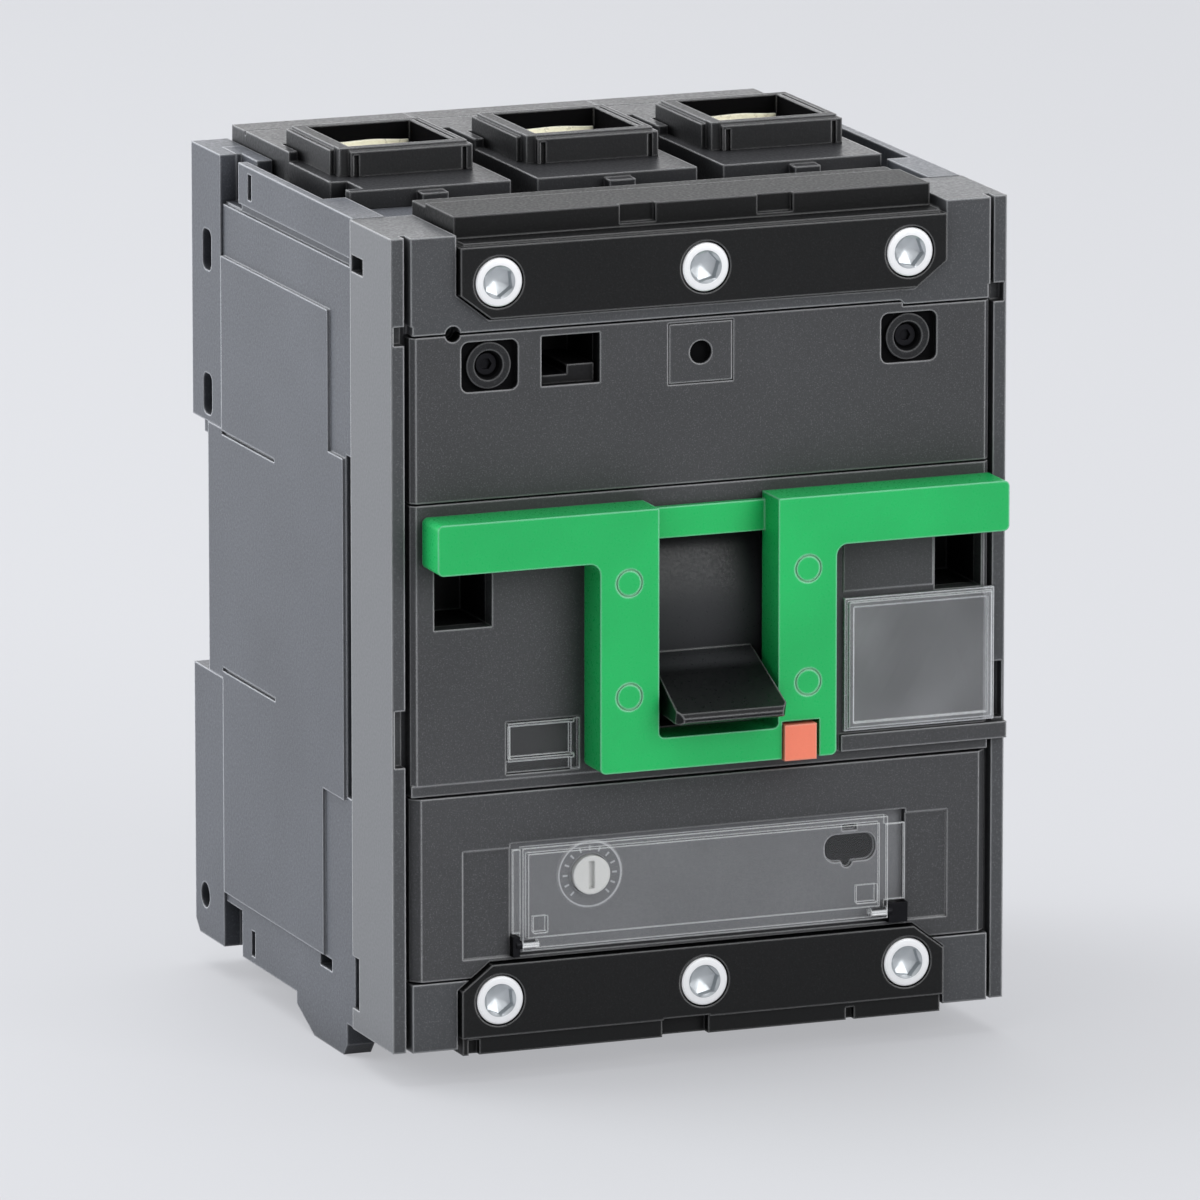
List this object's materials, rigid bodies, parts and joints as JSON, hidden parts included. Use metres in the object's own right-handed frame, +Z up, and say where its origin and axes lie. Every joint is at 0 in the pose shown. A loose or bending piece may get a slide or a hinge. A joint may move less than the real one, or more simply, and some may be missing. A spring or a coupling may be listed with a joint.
{
  "type": "molded case circuit breaker",
  "caption": "Molded case circuit breaker with box lug terminals, toggle in a green frame, trip button, hinged clear flap over the settings, rail and panel mounting.",
  "frame": {"origin": "centre of the four panel mounting holes, on the rear face at mid height", "axes": "+X to the right seen from the front, the toggle side faces -Y, +Z up"},
  "size_m": [0.09, 0.0912, 0.1224],
  "materials": {
    "rear_case": "fine matt moulded texture",
    "front_case": "fine matt moulded texture",
    "cover": "fine matt moulded texture",
    "inner_black": "satin",
    "terminal_cover": "satin",
    "screw_steel": "zinc plated, turned",
    "dark_steel": "black oxide",
    "frame_green": "satin",
    "toggle_black": "satin",
    "button_coral": "satin",
    "clear": "clear, polished",
    "panel_dark": "satin",
    "dial_white": "satin",
    "entry_dark": "fine matt moulded texture",
    "tinned_brass": "tinned, worn at the edges",
    "copper": "copper strip",
    "shaft_plastic": "glass filled",
    "bright_steel": "zinc plated",
    "bimetal": "rolled",
    "latch_black": "satin"
  },
  "bodies": {
    "case": {"rear_case": "rear_case", "upper_rail_plate": "rear_case", "lower_rail_plate": "rear_case", "line_deck": "entry_dark", "load_deck": "entry_dark", "accessory_sockets": "inner_black", "front_case": "front_case", "upper_cover": "cover", "centre_cover": "cover", "lower_cover": "cover", "test_cap": "cover", "window_block": "inner_black", "upper_terminal_cover": "terminal_cover", "lower_terminal_cover": "terminal_cover", "upper_terminal_screws": "screw_steel", "lower_terminal_screws": "screw_steel", "cover_screws": "dark_steel", "flap_pins": "dark_steel", "handle_frame": "frame_green", "label_plate": "clear", "tag_holder": "clear", "settings_panel": "panel_dark", "line_entry_1": "entry_dark", "line_entry_2": "entry_dark", "line_entry_3": "entry_dark", "load_entry_1": "entry_dark", "load_entry_2": "entry_dark", "load_entry_3": "entry_dark", "line_lug_1": "tinned_brass", "line_lug_2": "tinned_brass", "line_lug_3": "tinned_brass", "load_lug_1": "tinned_brass", "load_lug_2": "tinned_brass", "load_lug_3": "tinned_brass", "line_bar_1": "copper", "line_bar_2": "copper", "line_bar_3": "copper", "load_bar_1": "copper", "load_bar_2": "copper", "load_bar_3": "copper", "arc_chute_1": "bright_steel", "arc_chute_2": "bright_steel", "arc_chute_3": "bright_steel", "mechanism_frame": "bright_steel", "cradle": "bright_steel", "magnet_yokes": "bright_steel", "bimetals": "bimetal"},
    "toggle": {"toggle": "toggle_black", "handle_yoke": "bright_steel", "main_springs": "bright_steel"},
    "contacts": {"contact_shaft": "shaft_plastic", "contact_arms": "copper"},
    "button": {"trip_button": "button_coral"},
    "trip": {"trip_bar": "shaft_plastic"},
    "dial": {"adjust_dial": "dial_white"},
    "flap": {"settings_flap": "clear"},
    "latch": {"rail_latch": "latch_black"}
  },
  "joints": [
    {"name": "toggle_hinge", "type": "hinge", "parent": "case", "child": "toggle", "pos_m": [0, -0.0505, 0], "axis": [-1, 0, 0], "range_deg": [0, 29]},
    {"name": "contact_hinge", "type": "hinge", "parent": "case", "child": "contacts", "pos_m": [0, -0.031, -0.006], "axis": [-1, 0, 0], "range_deg": [0, 24]},
    {"name": "button_slide", "type": "slide", "parent": "case", "child": "button", "axis": [0, 1, 0], "range_m": [0, 0.002], "stiffness_N_per_m": 300, "springref_m": -0.0005},
    {"name": "trip_hinge", "type": "hinge", "parent": "case", "child": "trip", "pos_m": [0, -0.057, -0.029], "axis": [-1, 0, 0], "range_deg": [0, 12]},
    {"name": "dial_hinge", "type": "hinge", "parent": "case", "child": "dial", "pos_m": [-0.016, -0.077, -0.0338], "axis": [0, 1, 0], "range_deg": [-120, 120]},
    {"name": "flap_hinge", "type": "hinge", "parent": "case", "child": "flap", "pos_m": [0, -0.0802, -0.0424], "axis": [1, 0, 0], "range_deg": [0, 90]},
    {"name": "latch_slide", "type": "slide", "parent": "case", "child": "latch", "axis": [0, 0, -1], "range_m": [0, 0.0025], "stiffness_N_per_m": 300, "springref_m": -0.0005}
  ],
  "couplings": [
    {"joint": "contact_hinge", "follows": "toggle_hinge", "ratio": 0.827},
    {"joint": "trip_hinge", "follows": "button_slide", "rad_per_m": 100}
  ]
}
